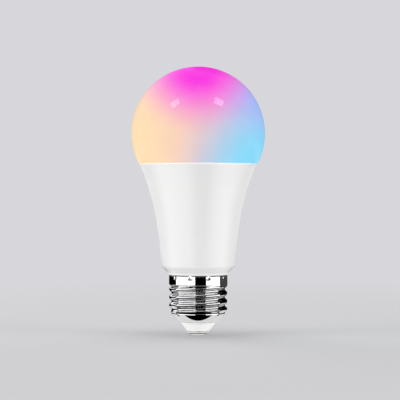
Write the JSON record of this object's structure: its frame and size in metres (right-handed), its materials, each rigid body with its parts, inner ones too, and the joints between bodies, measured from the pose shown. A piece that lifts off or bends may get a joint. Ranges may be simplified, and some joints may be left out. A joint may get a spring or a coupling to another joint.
{
  "type": "smart light bulb",
  "caption": "Round globe bulb with a milky colour-lit diffuser, a white tapered housing and a nickel screw cap, with its light board, driver and radio inside.",
  "frame": {"origin": "centre of the flat tip of the bottom contact", "axes": "+Z along the bulb's axis, from the screw cap to the globe's crown; +X towards the end of the driver board with the neutral lead; -Y towards the front, where the driver board's tall parts are"},
  "size_m": [0.06, 0.06, 0.1205],
  "materials": {
    "diffuser": "milky, satin gloss, lit from inside",
    "housing_plastic": "satin moulded plastic",
    "sleeve_plastic": "smooth moulded plastic",
    "silicone": "translucent white bead",
    "drawn_aluminium": "drawn",
    "nickel_plate": "bright nickel plate",
    "insulator": "smooth moulded",
    "contact_plate": "nickel plate with rub marks",
    "solder": "smooth solder",
    "tinned_copper": "tinned",
    "wire_jacket": "silicone jacket",
    "thermal_paste": "paste",
    "board_aluminium": "sheared sheet",
    "white_mask": "white solder mask",
    "led_package": "moulded ivory plastic",
    "warm_phosphor": "phosphor in silicone",
    "cool_phosphor": "phosphor in silicone",
    "red_emitter": "tinted clear resin",
    "green_emitter": "tinted clear resin",
    "blue_emitter": "tinted clear resin",
    "screw_steel": "zinc plate",
    "green_board": "green solder mask over glass-fibre board",
    "resistor_body": "lacquer",
    "black_sleeve": "heat-shrink sleeve",
    "blue_epoxy": "dipped epoxy",
    "red_film_case": "moulded case",
    "can_aluminium": "extruded can",
    "dark_sleeve": "shrunk sleeve",
    "blue_sleeve": "shrunk sleeve",
    "bung_rubber": "rubber",
    "ferrite": "pressed and ground",
    "enamelled_copper": "enamelled copper",
    "bobbin_plastic": "glass-filled",
    "yellow_tape": "polyester tape",
    "chip_plastic": "moulding compound",
    "resistor_glaze": "glazed",
    "capacitor_ceramic": "fired ceramic",
    "gold_plate": "thin gold plate",
    "aerial_copper": "copper under mask",
    "shield_steel": "tinned sheet"
  },
  "bodies": {
    "root": {"diffuser": "diffuser", "sealant_ring": "silicone", "housing_shell": "housing_plastic", "heat_sink_cup": "drawn_aluminium", "cap_sleeve": "sleeve_plastic", "screw_shell": "nickel_plate", "base_insulator": "insulator", "centre_contact": "contact_plate", "contact_solder": "solder", "live_lead": "wire_jacket", "neutral_lead": "tinned_copper", "thermal_paste": "thermal_paste", "led_board_core": "board_aluminium", "led_board_mask": "white_mask", "led_packages": "led_package", "led_terminals": "solder", "warm_phosphors": "warm_phosphor", "cool_phosphors": "cool_phosphor", "red_emitters": "red_emitter", "green_emitters": "green_emitter", "blue_emitters": "blue_emitter", "board_screws": "screw_steel", "driver_board": "green_board", "component_leads": "tinned_copper", "solder_joints": "solder", "fuse_resistor": "resistor_body", "fuse_sleeve": "black_sleeve", "varistor": "blue_epoxy", "film_capacitor": "red_film_case", "bulk_capacitor_can": "can_aluminium", "bulk_capacitor_sleeve": "dark_sleeve", "bulk_capacitor_bung": "bung_rubber", "choke_core": "ferrite", "choke_winding": "enamelled_copper", "transformer_core": "ferrite", "transformer_bobbin": "bobbin_plastic", "transformer_winding": "yellow_tape", "output_capacitor_can": "can_aluminium", "output_capacitor_sleeve": "blue_sleeve", "output_capacitor_bung": "bung_rubber", "bridge_rectifier": "chip_plastic", "driver_chips": "chip_plastic", "chip_leads": "solder", "rectifier_diodes": "chip_plastic", "chip_resistors": "resistor_glaze", "chip_capacitors": "capacitor_ceramic", "header_block": "bobbin_plastic", "header_pins": "gold_plate", "radio_board": "green_board", "radio_aerial": "aerial_copper", "radio_shield": "shield_steel", "radio_header": "bobbin_plastic", "radio_pins": "gold_plate"}
  },
  "joints": []
}
